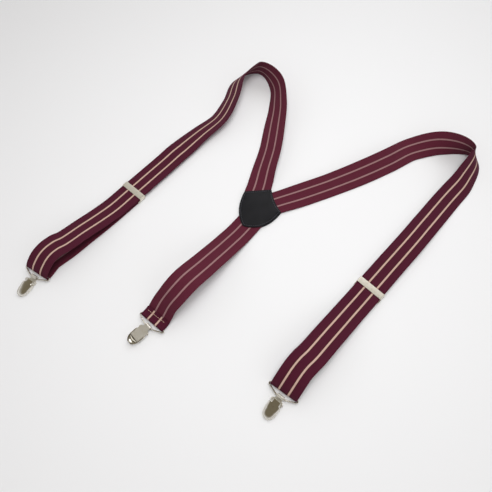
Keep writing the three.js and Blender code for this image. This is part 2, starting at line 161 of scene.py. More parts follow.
def curve_through(knots, at):
    """Catmull-Rom curve: a cubic from each knot to the next, whose slope at a knot is half the step
    between that knot's neighbours. The ends have a mirrored neighbour."""
    knots = np.asarray(knots, float)
    row = np.vstack([2 * knots[0] - knots[1], knots, 2 * knots[-1] - knots[-2]])
    span = np.minimum(at.astype(int), len(knots) - 2)
    u = (at - span)[:, None]
    before, start, end, after = (row[span + i] for i in range(4))
    cubic = 3 * (start - end) + after - before
    square = 2 * before - 5 * start + 4 * end - after
    return start + 0.5 * u * (end - before + u * (square + u * cubic))


def unit(vectors):
    """Each vector over its own length."""
    return vectors / np.linalg.norm(vectors, axis=-1, keepdims=True)


def lengths_along(points):
    """How far each point is along the line that runs through them all."""
    return np.append(0, np.cumsum(np.linalg.norm(np.diff(points, axis=0), axis=1)))


def points_at(at, along, points):
    """What a line's points come to at those lengths along it, by straight steps between them."""
    return np.stack([np.interp(at, along, part) for part in points.T], 1)


def eased(share):
    """3 t squared less 2 t cubed, where t is the share, held between 0 and 1."""
    share = np.clip(share, 0, 1)
    return share * share * (3 - 2 * share)


def laid(knots, first, last):
    """The webbing's centre line and the direction across it, through knots of x, y, tilt and lift from
    knot first to knot last. It stands on its lower edge: its centre is at lift, plus half its width
    times the sine of the tilt, plus half its thickness times the cosine."""
    x, y, tilt, lift = curve_through(knots, np.linspace(first, last, 1200)).T
    heading = unit(np.gradient(np.stack([x, y], 1), axis=0))
    sine, cosine = np.sin(np.radians(tilt)), np.cos(np.radians(tilt))
    z = np.maximum(lift, 0.1) + half_width * abs(sine) + half_thickness * abs(cosine)
    across = np.stack([-heading[:, 1] * cosine, heading[:, 0] * cosine, sine], 1)
    return np.stack([x, y, z], 1), across


def side_view(knots, place, side):
    """The same for a run drawn from its side, through knots of y and z in a place's frame. The first
    and last knots only shape the curve."""
    y, z = curve_through(knots, np.linspace(1, len(knots) - 2, 900)).T
    centre = put(place, np.stack([0 * y, y, z], 1))
    return centre, np.repeat([side * place[1]], len(centre), 0)


def joined(first, second, soft):
    """Two runs end to end as one, with its stations a step apart. Within that softness of where they
    meet, each station moves towards the bell-weighted mean of its neighbours."""
    step = 0.5
    centre, across = (np.concatenate(parts) for parts in zip(first, second))
    along = lengths_along(centre)
    at = np.linspace(0, along[-1], int(along[-1] / step))
    even = points_at(at, along, np.hstack([centre, across]))
    reach = int(soft / step)
    bell = np.exp(-((np.linspace(-3, 3, 2 * reach + 1)) ** 2) / 2)
    padded = np.pad(even, ((reach, reach), (0, 0)), mode="edge")
    mean = np.stack([np.convolve(part, bell / bell.sum(), "valid") for part in padded.T], 1)
    share = eased(1.6 * (1 - abs(at - along[len(first[0])]) / soft))[:, None]
    even = even + share * (mean - even)
    return at, even[:, :3], unit(even[:, 3:])


def loft(rows, ring=False, closed=True):
    """The points and four-sided faces of a skin over rows of points. Each row is a closed loop, unless
    closed is false. Rows join end to end in a ring, or the two end rows are filled across."""
    count, size = rows.shape[:2]
    index = np.arange(count * size).reshape(count, size)
    if ring:
        index = np.vstack([index, index[:1]])
    if closed:
        index = np.hstack([index, index[:, :1]])
    corners = [index[:-1, :-1], index[:-1, 1:], index[1:, 1:], index[1:, :-1]]
    faces = [np.stack(corners, -1).reshape(-1, 4)]
    if closed and not ring:
        near = np.arange(size // 2 - 1)
        strip = np.stack([near, size - 1 - near, size - 2 - near, near + 1], -1)
        faces += [strip, index[-1, 0] + strip[:, ::-1]]
    return rows.reshape(-1, 3), np.concatenate(faces)


def outward(points, faces):
    """Faces turned so that the enclosed volume is positive."""
    a, b, c, d = (points[faces[:, i]] for i in range(4))
    volume = (a * (np.cross(b, c) + np.cross(c, d))).sum()
    return faces if volume > 0 else faces[:, ::-1]


def piece(name, skins, finish, sharp=35, bevel=0):
    """An object from closed skins of points in millimetres. Edges sharper than that angle stay sharp,
    and a bevel rounds them by that many millimetres."""
    points = np.concatenate([skin[0] for skin in skins]) * MM
    starts = np.cumsum([0] + [len(skin[0]) for skin in skins[:-1]])
    faces = np.concatenate([outward(*skin) + start for skin, start in zip(skins, starts)])
    mesh = bpy.data.meshes.new(name)
    mesh.from_pydata(points.tolist(), [], faces.tolist())
    clean = bmesh.new()
    clean.from_mesh(mesh)
    bmesh.ops.remove_doubles(clean, verts=clean.verts, dist=1e-7)
    clean.to_mesh(mesh)
    clean.free()
    mesh.shade_smooth()
    mesh.set_sharp_from_angle(angle=np.radians(sharp))
    mesh.materials.append(finish)
    made = bpy.data.objects.new(name, mesh)
    bpy.context.scene.collection.objects.link(made)
    if bevel:
        rounding = made.modifiers.new("rounding", "BEVEL")
        rounding.width = bevel * MM
        rounding.segments = 2
        rounding.limit_method = "ANGLE"
        rounding.angle_limit = np.radians(50)
    return made


class Value:
    """An output of a material's nodes. Each operator or function adds one Math node."""

    def __init__(self, finish, socket):
        self.finish = finish
        self.socket = socket

    def __add__(self, other):
        return self.finish.math("ADD", self, other)

    def __sub__(self, other):
        return self.finish.math("SUBTRACT", self, other)

    def __rsub__(self, other):
        return self.finish.math("SUBTRACT", other, self)

    def __mul__(self, other):
        return self.finish.math("MULTIPLY", self, other)

    def __truediv__(self, other):
        return self.finish.math("DIVIDE", self, other)

    __radd__ = __add__
    __rmul__ = __mul__

    def __abs__(self):
        return self.finish.math("ABSOLUTE", self)

    def sine(self):
        return self.finish.math("SINE", self)

    def whole(self):
        return self.finish.math("FLOOR", self)

    def rise(self, low, high):
        """0 below low, 1 above high and a smooth step between them."""
        settings = {"interpolation_type": "SMOOTHSTEP"}
        return self.finish.node("MapRange", settings, {"Value": self, 1: low, 2: high})["Result"]


class Finish:
    """A material and its nodes."""

    def __init__(self, name):
        self.material = bpy.data.materials.new(name)
        self.material.use_nodes = True
        self.tree = self.material.node_tree
        self.tree.nodes.clear()

    def node(self, kind, settings, inputs):
        """Adds a node, sets it, fills its sockets with values or links, and gives its outputs."""
        made = self.tree.nodes.new("ShaderNode" + kind)
        for name, value in settings.items():
            setattr(made, name, value)
        for socket, value in inputs.items():
            if isinstance(value, Value):
                self.tree.links.new(value.socket, made.inputs[socket])
            else:
                made.inputs[socket].default_value = value
        return {output.name: Value(self, output) for output in made.outputs if output.enabled}

    def math(self, operation, *values):
        return self.node("Math", {"operation": operation}, dict(enumerate(values)))["Value"]

    def mix(self, share, first, second):
        return self.node("Mix", {"data_type": "RGBA"}, {0: share, 6: first, 7: second})["Result"]

    def shaded(self, colour, factor):
        return self.node("VectorMath", {"operation": "SCALE"}, {0: colour, "Scale": factor})["Vector"]

    def noise(self, where, scale, stretch=(1, 1, 1), detail=2):
        """Cloudy noise from 0 to 1 over a position that is first scaled by stretch."""
        at = self.node("Mapping", {}, {"Vector": where, "Scale": stretch})["Vector"]
        return self.node("TexNoise", {}, {"Vector": at, "Scale": scale, "Detail": detail})["Fac"]

    def done(self, inputs):
        """The material, with one Principled shader of those inputs."""
        shader = self.node("BsdfPrincipled", {}, inputs)["BSDF"]
        self.node("OutputMaterial", {}, {"Surface": shader})
        return self.material


def dye(red, green, blue):
    """A colour given as 0 to 255 on a screen, as the linear light that shaders use."""
    screen = np.array([red, green, blue]) / 255
    linear = np.where(screen < 0.04045, screen / 12.92, ((screen + 0.055) / 1.055) ** 2.4)
    return (*linear.tolist(), 1.0)


def woven():
    """Plain weave: columns of yarn along the webbing, each a row of beads half a bead out of step with
    the next. The stripes and their darker borders follow the distance from the webbing's middle."""
    yarn, bead = 0.55, 1.1
    stripe_middle, stripe_half, border = 6.2, 1.1, 0.6
    cloth = Finish("webbing")
    where = cloth.node("Attribute", {"attribute_name": "weave"}, {})["Vector"]
    across, along, face = cloth.node("SeparateXYZ", {}, {"Vector": where}).values()
    column = (across / yarn).whole()
    ridge = ((across / yarn - column) * np.pi).sine()
    beads = 0.5 + 0.5 * ((along / bead + column * 0.5) * (2 * np.pi)).sine()
    relief = ridge * (0.55 + 0.45 * beads)
    off_stripe = abs(abs(across) - stripe_middle)
    stripe = 1 - off_stripe.rise(stripe_half - 0.12, stripe_half + 0.12)
    edging = 1 - off_stripe.rise(stripe_half + border, stripe_half + border + 0.25)
    bright = 1 - face.rise(-0.5, 0.5)
    ground = cloth.mix(bright, dye(88, 31, 47), dye(74, 21, 40))
    edged = cloth.mix(edging * (0.35 + 0.5 * bright), ground, dye(58, 30, 16))
    pale = cloth.mix(bright, dye(150, 112, 114), dye(198, 166, 152))
    colour = cloth.mix(stripe, edged, pale)
    streaks = cloth.noise(where, 1, (1.6, 0.06, 1), 3)
    clouds = cloth.noise(where, 1, (0.16, 0.09, 1), 2)
    # Streaks and clouds vary the yarn's own tone at random. The relief term is painted shade, darker in
    # the hollows between yarns and beads.
    tone_and_painted_shade = 0.66 + 0.22 * relief + 0.22 * streaks + 0.16 * clouds
    bump = cloth.node("Bump", {}, {"Strength": 0.7, "Distance": 0.00012, "Height": relief})["Normal"]
    return cloth.done(
        {
            "Base Color": cloth.shaded(colour, tone_and_painted_shade),
            "Roughness": 0.9 - 0.12 * relief,
            "Normal": bump,
            "Sheen Weight": 0.1,
            "Sheen Roughness": 0.35,
            "Sheen Tint": dye(190, 120, 160),
            "Specular IOR Level": 0.25,
        }
    )


webbing_finish = woven()


def webbing(name, run, slant=0):
    """Webbing along a run, with half-round selvedges. A point of its outline lies across the centre line
    by one distance and off it by another. The whole outline sways a little, by a product of two slow
    sines. A slant cuts the start askew by that much at its edges."""
    along, centre, across = run
    heading = unit(np.gradient(centre, axis=0))
    normal = unit(np.cross(heading, across))
    turn = np.radians([10, 30, 50, 70])
    edge = half_width - half_thickness + half_thickness * np.cos(turn)
    flat = np.linspace(half_thickness - half_width, half_width - half_thickness, 23)
    sideways = np.concatenate([-edge, flat, edge[::-1]])
    height = np.concatenate([np.sin(turn), 1 + 0 * flat, np.sin(turn)[::-1]]) * half_thickness
    sideways = np.append(sideways, sideways[::-1])
    height = np.append(height, -height[::-1])
    askew = slant * sideways / half_width * np.maximum(0, 1 - along / slant_reach)[:, None]
    sway = 0.06 * np.sin(along / 9.0) * np.sin(along / 23.0)
    rows = centre[:, None] + across[:, None] * (sideways[:, None] + sway[:, None, None])
    rows = rows + normal[:, None] * height[:, None] + heading[:, None] * askew[..., None]
    made = piece(name, [loft(rows)], webbing_finish, sharp=60)
    weave = np.empty(rows.shape)
    weave[..., 0] = sideways
    weave[..., 1] = along[:, None]
    weave[..., 2] = height / half_thickness
    attribute = made.data.attributes.new("weave", "FLOAT_VECTOR", "POINT")
    attribute.data.foreach_set("vector", weave.astype(np.float32).ravel())
    return made


def beside(place, distance, offset=0):
    """The x and y of a point up the strap from a place, and to its side by the offset."""
    return put(place, [offset, distance, 0])[:2].tolist()


def arc(y, z, radius, start, end, count):
    """Points of y and z on a circle from one angle to another."""
    angle = np.radians(np.linspace(start, end, count))
    return np.stack([y + radius * np.cos(angle), z + radius * np.sin(angle)], 1).tolist()


ring_wire = 0.9
under_ring = 0.5
wrap = ring_wire + clearance + half_thickness
ring_height = under_ring + half_thickness + wrap
strap_lift = 1.5
lever_ahead = 1.5
bar_width = 3
bar_behind = 6
bar_thickness = 1
fold_height = 0.2 + half_thickness
bar_height = fold_height + half_thickness + clearance + bar_thickness / 2
fold_top = 2 * bar_height - fold_height
front_lift = fold_top + half_thickness + clearance
rings = {side: place_at(side + "_ring_swing") for side in ("left", "right", "back")}
ends = {side: on_table(ring) for side, ring in rings.items()}
adjusters = {}
for side in ("left", "right"):
    lever_hinge = on_table(place_at(side + "_lever_hinge"))
    adjusters[side] = np.vstack([put(lever_hinge, [0, -lever_ahead, 0]), lever_hinge[1:]])

# The knots of each front strap are x, y, tilt and lift. A loop's are the distance below the adjuster,
# the offset to the right, the tilt and the rise. A tilt of 180 degrees has the bright face up.
fronts = {
    "left": {
        "slant": -4,
        "route": [
            [-4, 18.9, 0, 1.5],
            [1.75, 36.75, -1, 1.35],
            [8, 62, -14, 0.4],
            [18, 98, -21, 0],
            [25, 138, -26, 0],
            [31, 179, -41, 0],
            [29, 220, -64, 0],
            [3, 251, -110, 0],
            [-29, 232, -132, 0],
            [-41, 193, -143, 0],
            [-58, 156, -156, 0],
            [-87, 127, -168, 1],
        ],
        "loop": [[34, 0, -180, 0], [58, 0.5, -178, 2.5], [88, 2, -176, 6.5], [116, 3.5, -177, 10.5]],
        "bright_up": -180,
    },
    "right": {
        "slant": 6,
        "route": [
            [18.4, 5.4, 0, 1.5],
            [33.25, 10.5, 1.2, 1.35],
            [61, 20, 8, 0.3],
            [104, 37, 9, 0],
            [147, 55, 18, 0],
            [188, 75, 23, 0],
            [228, 98, 14, 0],
            [270, 100, 57, 0],
            [311, 81, 120, 0],
            [291, 43, 155, 0],
            [259, 9, 172, 0.5],
        ],
        "loop": [[34, 0, 180, 0], [60, 0, 180, 4], [92, 0, 181, 9], [122, 0, 181, 13.5]],
        "bright_up": 180,
    },
}
flat_run = [96, 64, 32]
curl_start = 22
curl_height = 19
curl_end = 7
return_end = 26


def front_strap(side):
    """From the patch, through the adjuster, down over the curl and round the ring's wide bar."""
    front, adjuster, end = fronts[side], adjusters[side], ends[side]
    up = front["bright_up"]
    low = curl_height - half_thickness
    knots = front["route"]
    knots = knots + [[*beside(adjuster, distance), up, front_lift] for distance in [*flat_run, 0]]
    for down, offset, tilt, lift in front["loop"]:
        knots = knots + [[*beside(adjuster, -down, -offset), tilt, front_lift + lift]]
    knots = knots + [
        [*beside(end, curl_start * 1.5), up, low - 0.6],
        [*beside(end, curl_start + clearance), up, low],
        [*beside(end, curl_start / 2), up, curl_height * 0.9 - half_thickness],
    ]
    curl = [
        [curl_start * 1.5, curl_height - 0.6],
        [curl_start, curl_height],
        [curl_start / 2, curl_height * 0.9],
        [3, curl_height * 0.64],
        [-1.4, curl_height * 0.34],
        *arc(0, ring_height, wrap, 180, 270, 3),
        [curl_end, under_ring + half_thickness],
        [curl_end * 2, under_ring + half_thickness],
    ]
    run = joined(laid(knots, 0, len(knots) - 2), side_view(curl, end, -1), 32)
    return webbing(side + "_front_webbing", run, front["slant"]), run[0][-1]


def return_strap(side):
    """From under the ring, flat on the table, up to the adjuster, round its rear bar and sewn down."""
    front, adjuster, end = fronts[side], adjusters[side], ends[side]
    knots = [[*beside(end, distance), 0, under_ring] for distance in (0, curl_end, curl_start)]
    for down, offset, _, _ in reversed(front["loop"]):
        knots = knots + [[*beside(adjuster, -down, -offset), 0, under_ring]]
    low = fold_height - half_thickness
    knots = knots + [[*beside(adjuster, -distance), 0, low] for distance in (return_end, return_end / 2)]
    bend = bar_width / 2 - bar_behind
    fold = [
        [-return_end * 1.5, fold_height],
        [-return_end, fold_height],
        [(bend - return_end) / 2, fold_height],
        *arc(bend, bar_height, bar_height - fold_height, -90, 90, 5),
        [bend - 3.6, fold_top],
        [bend - 8.4, fold_top - 0.5],
        [bend - 12, fold_top - 0.8],
        [bend - 15.6, fold_top - 0.8],
    ]
    run = joined(laid(knots, 1, len(knots) - 2), side_view(fold, adjuster, -1), 12)
    return webbing(side + "_return_webbing", run), run[0][-1]


def back_strap():
    """From the patch over a hump, under the back ring's wide bar, round it and sewn down on top."""
    end = ends["back"]
    knots = [
        [-10, -19.1, 0, strap_lift],
        [-20.1, -31.5, 0, strap_lift],
        [-30.6, -44.6, 0, strap_lift + 1.5],
        [-47, -65, 0, 10],
        [-70, -94, -2, 22],
        [-90, -117, -5, 28],
        [-105, -133, -4, 23.5],
        [*beside(end, 22), -1, 12.5],
        [*beside(end, 15), 0, 6],
    ]
    under = under_ring + half_thickness
    over = 2 * ring_height - under
    fold = [
        [30, 19.5],
        [22, 12.5 + half_thickness],
        [15, 6 + half_thickness],
        [9.5, 2.6],
        [4, under],
        *arc(0, ring_height, wrap, 270, 90, 7),
        [4, over - 0.4],
        [7.5, over - 0.2],
        [10.5, over + 0.9],
        [14, over + 2],
    ]
    run = joined(laid(knots, 0, len(knots) - 2), side_view(fold, end, 1), 17)
    return webbing("back_webbing", run), run[0][-1]


def declare(strap, length, rests_on, *nodes):
    """Hides the CAD solids that a strap stands for. The flat length that it was cut to is turned into
    metres and not kept.
    """
    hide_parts(*nodes)
    length * MM


for side in ("left", "right"):
    adjuster, end = adjusters[side], ends[side]
    strap, length = front_strap(side)
    lower, upper = put(end, [0, 30, 0]) * MM, put(adjuster, [0, -25, 0]) * MM
    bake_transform(strap)
    nodes = [side + "_strap", side + "_strap_front_layer", side + "_strap_curl"]
    declare(strap, length, [side + "_ring", side + "_adjuster_frame"], *nodes)
    strap, length = return_strap(side)
    lower, upper = put(end, [0, 26, 0]) * MM, put(adjuster, [0, -24, 0]) * MM
    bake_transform(strap)
    nodes = [side + "_strap_return_layer", side + "_strap_sewn_end"]
    declare(strap, length, [side + "_ring", side + "_adjuster_rear_bar"], *nodes)
strap, length = back_strap()
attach(strap, "root")
declare(strap, length, ["back_ring", "patch_bottom_leather"], "back_strap")


# ---- Patch ----
# Two pieces of fine-grained black leather, one above and one below the ends of the three straps. The
# upper one is pressed down at its rim wherever no strap comes out, and each cut edge is rubbed round.
leather_thickness = 1.2
stitch_margin = 2.6
rim_width = 9
rim_droop = 1.6
top_leather_under = strap_lift + webbing_thickness + clearance

# Where each strap comes out: two points of its middle line, in half widths of webbing.
strap_exits = [[[-0.23, 1.08], [0.1, 2.1]], [[1.05, 0.31], [1.9, 0.6]], [[-0.57, -1.09], [-1.15, -1.8]]]


def patch_outline(count):
    """Evenly spaced points round the patch: straight across the left strap, then parabolas, each the
    blend of its start, its corner and its end by (1 - t) squared, 2t(1 - t) and t squared. They are
    drawn in half widths of webbing."""
    start, first = [-1.14, 1.43], [1.03, 1.6]
    corners = [[1.12, 0.45], [1.05, -1.45], [-0.75, -1.95], [-1.95, -0.1]]
    stops = [first, [1.72, -0.5], [0.1, -1.78], [-1.3, -1.68], start]
    t = np.linspace(0, 1, 60, endpoint=False)[:, None]
    runs = [(1 - t) * start + t * first]
    for begin, corner, stop in zip(stops, corners, stops[1:]):
        begin, corner, stop = np.array([begin, corner, stop])
        runs.append((1 - t) ** 2 * begin + 2 * t * (1 - t) * corner + t * t * stop)
    points = np.concatenate([*runs, [start]]) * half_width
    along = lengths_along(points)
    return points_at(np.linspace(0, along[-1], count, endpoint=False), along, points)


def rim_sag(points):
    """1 on the rim where no strap comes out, 0 beside a strap, by the distance from each strap's line."""
    sag = np.ones(len(points))
    for start, stop in np.array(strap_exits) * half_width:
        heading = unit(stop - start)
        ahead = (points - start) @ heading
        aside = abs((points - start) @ [-heading[1], heading[0]])
        beside_strap = np.clip((aside - half_width + 0.5) / 4, 0, 1)
        behind = np.clip(-ahead / 8 - 0.5, 0, 1)
        sag = np.minimum(sag, eased(np.maximum(beside_strap, behind)))
    return sag


def rim_fall(inset):
    """The share of the rim's droop that is left at a distance in from the edge."""
    return np.clip(1 - inset / rim_width, 0, 1) ** 1.4


def leather_disc(under, droop, groove):
    """A leather layer from its middle to its rounded edge and back below. The first rows of points are
    at shares of the way out, and the rest at a distance in from the edge, each with its height. With a
    droop, the rim sinks by up to that much where no strap is, and the middle is a little fuller."""
    edge = leather_thickness
    outline = patch_outline(360)
    reach = np.linalg.norm(outline, axis=1)
    shares = (0, 0.4, 0.7, 0.82)
    seam = [[5, 0.02], [3.6, 0.03], [3.0, -0.05], [stitch_margin, -groove], [2.2, -0.05]]
    over = [[1.6, 0.02], [0.8, -0.03], [0.35, -0.12], [0.1, -0.3]]
    below = [[0, -edge / 2], [0.1, -0.9], [0.35, -1.08], [0.8, -edge], [5, -edge]]
    inset = [reach * (1 - share) for share in shares]
    inset += [np.full(len(reach), float(distance)) for distance, _ in seam + over + below]
    inset = np.stack([*inset, reach], 1)
    height = [edge for _ in shares] + [edge + level for _, level in seam + over + below]
    height = np.array([*height, 0])
    low = rim_fall(inset) * (rim_sag(outline) * droop)[:, None]
    crown = 0.35 * np.clip(inset / 14, 0, 1) * (height > 0.5 * edge)
    flat = outline[:, None] * (1 - inset / reach[:, None])[..., None]
    rows = np.dstack([flat, under + height - low + crown * (droop > 0)])
    return loft(rows, ring=True, closed=False)


def patch_leather():
    """Fine pebbled grain: rounded cells of half a millimetre with creases between. Soft blotches are a
    little paler and glossier, as if rubbed."""
    hide = Finish("patch_leather")
    where = hide.node("TexCoord", {}, {})["Object"]
    cell = {"Vector": where, "Scale": 1700}
    cells = hide.node("TexVoronoi", {"feature": "SMOOTH_F1"}, cell)["Distance"]
    creases = hide.noise(where, 420, (1, 1, 1), 4)
    blotches = hide.noise(where, 60, (1, 1, 1), 2)
    relief = 0.7 * (1 - cells) + 0.5 * creases
    tone = hide.mix(blotches, dye(16, 16, 19), dye(24, 24, 28))
    bump = hide.node("Bump", {}, {"Strength": 0.55, "Distance": 0.00012, "Height": relief})["Normal"]
    return hide.done(
        {
            # Painted shade: the colour is darker where the creases sink into the grain.
            "Base Color": hide.shaded(tone, 0.75 + 0.4 * creases),
            "Roughness": 0.62 - 0.2 * blotches + 0.1 * cells,
            "Normal": bump,
            "Specular IOR Level": 0.25,
        }
    )


leather_finish = patch_leather()
layers = (("bottom", 0, 0, 0.0), ("top", top_leather_under, rim_droop, 0.22))
for layer, under, droop, groove in layers:
    leather = piece("patch_" + layer + "_layer", [leather_disc(under, droop, groove)], leather_finish)
    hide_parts("patch_" + layer + "_leather")
    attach(leather, "root")


# ---- Stitching ----
# Twisted thread in a lockstitch: black round the patch, sunk in its groove, and beige across each
# folded end of webbing. Every stitch is an arched bit of thread whose ends dive into their holes.
thread_radius = 0.25
stitch_pitch = 3.0
stitch_length = 2.45
fold_stitch_line = 28
fold_stitch_slope = 0.03


def thread(name, dark, light):
    """Two-ply thread: slanted bands one twist apart, with painted shade where the plies meet."""
    cotton = Finish(name)
    where = cotton.node("TexCoord", {}, {})["Object"]
    x, y, z = cotton.node("SeparateXYZ", {}, {"Vector": where}).values()
    twist = 0.5 + 0.5 * ((x + y + 0.6 * z) * (2 * np.pi / 0.0007)).sine()
    fuzz = cotton.noise(where, 5000)
    bump = cotton.node("Bump", {}, {"Strength": 0.5, "Distance": 0.00008, "Height": twist})["Normal"]
    # Painted shade: dark in the grooves between plies and lighter on their crests, with random fuzz mixed
    # in.
    colour = cotton.mix(twist * 0.6 + fuzz * 0.4, dark, light)
    return cotton.done({"Base Color": colour, "Roughness": 0.85 - 0.15 * twist, "Normal": bump})


def stitches(centres, headings, length):
    """A stitch at each centre: a round thread, thin at its ends, that rises and falls by half a wave of
    the sine along it."""
    t, angle = np.linspace(0, 1, 9), np.linspace(0, 2 * np.pi, 8, endpoint=False)
    skins = []
    for centre, heading in zip(centres, unit(headings)):
        side = np.cross([0, 0, 1], heading)
        rise = thread_radius * (1.6 * np.sin(np.pi * t) - 1.1)
        line = centre + (t[:, None] - 0.5) * length * heading + rise[:, None] * [0, 0, 1]
        radius = thread_radius * np.clip(4 * np.sqrt(t * (1 - t)), 0.25, 1)
        around = np.cos(angle)[:, None] * side + np.sin(angle)[:, None] * np.array([0, 0, 1.0])
        skins.append(loft(line[:, None] + radius[:, None, None] * around))
    return skins


run = patch_outline(2000)
run = run * (1 - stitch_margin / np.linalg.norm(run, axis=1))[:, None]
along = lengths_along(run)
count = int(along[-1] / stitch_pitch)
at = (np.arange(count) + 0.5) * along[-1] / count
centres = points_at(at, along, run)
headings = points_at(at, along, np.gradient(run, axis=0))
sag = rim_droop * rim_sag(centres) * rim_fall(stitch_margin)
level = top_leather_under + leather_thickness - sag + 0.1
centres, headings = np.column_stack([centres, level]), np.column_stack([headings, 0 * sag])
black_thread = thread("black_thread", dye(52, 52, 60), dye(90, 90, 98))
patch_seam = piece("patch_seam", stitches(centres, headings, stitch_length), black_thread)
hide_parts("patch_stitching")
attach(patch_seam, "root")

beige_thread = thread("beige_thread", dye(176, 140, 122), dye(222, 190, 168))


def fold_seam(name, place, distance, height, body):
    """A row of stitches across a folded end, slightly askew as they were sewn."""
    x = np.arange(-fold_stitch_line / 2 + 1.2, fold_stitch_line / 2, stitch_pitch)
    centres = put(place, np.stack([x, distance + fold_stitch_slope * x, height + 0 * x], 1))
    headings = np.repeat([place[1] + fold_stitch_slope * place[2]], len(x), 0)
    seam = piece(name, stitches(centres, headings, stitch_length), beige_thread)
    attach(seam, body)
    return seam


over_ring = 2 * ring_height - under_ring
back_seam = fold_seam("back_fold_seam", ends["back"], 7.0, over_ring + 0.12, "root")
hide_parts("back_strap_stitching")
for side in ("left", "right"):
    sewn = bar_width / 2 - bar_behind - 9.5
    height = fold_top + half_thickness - 0.45
    fold_seam(side + "_fold_seam", adjusters[side], sewn, height, side + "_adjuster")


# ---- Rings ----
# Nickel-plated steel wire bent into a loop: a wide bar for the webbing, flared sides, and a narrow bar
# for the clip. The butt of the wire is welded and plated over.
ring_depth = 8
narrow_half = 5.6
side_half = half_width + clearance + ring_wire + 0.15


def nickel(name, tone, roughness, grain=(1, 1, 1), grain_scale=900, dents=0.00002, metal=1.0):
    """Plated steel: fine polishing marks, long in the direction where the grain is small, faint tarnish
    in soft clouds, and a roughness that follows both."""
    plate = Finish(name)
    where = plate.node("TexCoord", {}, {})["Object"]
    lines = plate.noise(where, grain_scale, grain, 3)
    clouds = plate.noise(where, 260, (1, 1, 1), 3)
    tarnish = clouds.rise(0.45, 0.8)
    bump = plate.node("Bump", {}, {"Strength": 0.35, "Distance": dents, "Height": lines})["Normal"]
    red, green, blue = tone
    dull = dye(red * 0.86, green * 0.83, blue * 0.76)
    return plate.done(
        {
            "Base Color": plate.mix(tarnish * 0.35, dye(*tone), dull),
            "Metallic": metal,
            "Roughness": roughness + 0.1 * lines + 0.12 * tarnish,
            "Normal": bump,
        }
    )


bright_nickel = nickel("bright_nickel", (230, 226, 216), 0.05)
satin_nickel = nickel("satin_nickel", (240, 235, 222), 0.4, (1, 1, 0.2), 2200, 0.00004, 0.85)


def rounded(corners, radii, closed=False, steps=8):
    """A flat outline with each corner turned into an arc of its radius, as a bent wire or sheet. A spoke
    of the arc is its first and last, weighted by the sines of the turn to come and the turn done."""
    corners = np.asarray(corners, float)
    points = []
    for i, (corner, radius) in enumerate(zip(corners, radii)):
        before, after = corners[i - 1], corners[(i + 1) % len(corners)]
        if radius == 0 or (not closed and i in (0, len(corners) - 1)):
            points.append([corner])
            continue
        back, ahead = unit(before - corner), unit(after - corner)
        half_turn = np.arccos(np.clip(back @ ahead, -1, 1)) / 2
        centre = corner + unit(back + ahead) * radius / np.sin(half_turn)
        first = corner + back * radius / np.tan(half_turn) - centre
        last = corner + ahead * radius / np.tan(half_turn) - centre
        sweep = np.pi - 2 * half_turn
        t = np.linspace(0, 1, steps)[:, None]
        arc_points = (np.sin((1 - t) * sweep) * first + np.sin(t * sweep) * last) / np.sin(sweep)
        points.append(centre + arc_points)
    return np.concatenate(points)


def spaced(points, step, closed=False):
    """Evenly spaced points along an outline, no further apart than a step."""
    ends_too = np.vstack([points, points[:1]]) if closed else points
    along = lengths_along(ends_too)
    at = np.linspace(0, along[-1], int(along[-1] / step) + 2, endpoint=not closed)
    return points_at(at, along, ends_too)


def round_wire(path, radius, sides=20):
    """A closed wire of that radius along a flat path: circles square to the path's heading."""
    heading = unit(np.roll(path, -1, 0) - np.roll(path, 1, 0))
    outward_turn = np.stack([heading[:, 1], -heading[:, 0], 0 * heading[:, 0]], 1)
    angle = np.linspace(0, 2 * np.pi, sides, endpoint=False)
    across, up = np.cos(angle)[:, None], np.sin(angle)[:, None]
    around = across * outward_turn[:, None] + up * np.array([0, 0, 1.0])
    return np.column_stack([path, 0 * path[:, 0]])[:, None] + radius * around


def fitted(name, skins, place, finish, node, body, bevel=0):
    """A piece whose skins are drawn in a place's own frame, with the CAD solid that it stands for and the
    body that it rides on."""
    skins = [(put(place, points), faces) for points, faces in skins]
    made = piece(name, skins, finish, bevel=bevel)
    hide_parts(node)
    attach(made, body)


right_bends = [[side_half, 0], [side_half, -2.9], [narrow_half + 0.9, -ring_depth]]
ring_bends = right_bends + [[-x, y] for x, y in reversed(right_bends)]
ring_path = spaced(rounded(ring_bends, [1.9, 1.6, 2.6, 2.6, 1.6, 1.9], closed=True), 0.5, closed=True)
for side, ring in rings.items():
    skins = [loft(round_wire(ring_path, ring_wire), ring=True)]
    fitted(side + "_wire_ring", skins, ring, bright_nickel, side + "_ring", side + "_ring")


# ---- Clips ----
# A flat stamped plate rolled round the ring at its neck, with two ears bent up to carry the hinge pin.
# A pressed cover turns on the pin and shuts its nose, lined with a plastic grip, on the plate's end.
clip_length = 28.5
cover_half = 8
cover_sheet = 0.8
cover_top = 2.9
cover_rim = -2.2
plate_sheet = 0.9
plate_end = 20.5
roll_turn = np.radians(230)
pressed_lines = (-5.4, -3.6, -1.2, 1.2, 3.6, 5.4)
line_width = 0.22
line_depth = 0.2
lug_half = 4.2
lug_play = 0.8
pin_radius = 0.7
pin_ahead = 6.6
pin_height = -0.6
pin_play = 0.1
ear_half = 1.75
hole_lift = 0.25
ear_top = pin_height + 2.05
knuckle_half = 5.2
knuckle_sheet = 0.3
shoulder = 16
slope_start = 11
grip_half = 5.7
grip_tooth = 0.95
plate_half = cover_half - cover_sheet - clearance


def sheet_metal(middle, thickness):
    """A closed skin on both sides of a middle surface, half the thickness away along its normal."""
    along = np.gradient(middle, axis=0)
    across = np.gradient(middle, axis=1)
    normal = unit(np.cross(along, across)) * thickness / 2
    return loft(np.concatenate([middle + normal, (middle - normal)[:, ::-1]], axis=1))


def smooth_step(value, low, high):
    """0 below low, 1 above high and eased between them."""
    return eased((value - low) / (high - low))


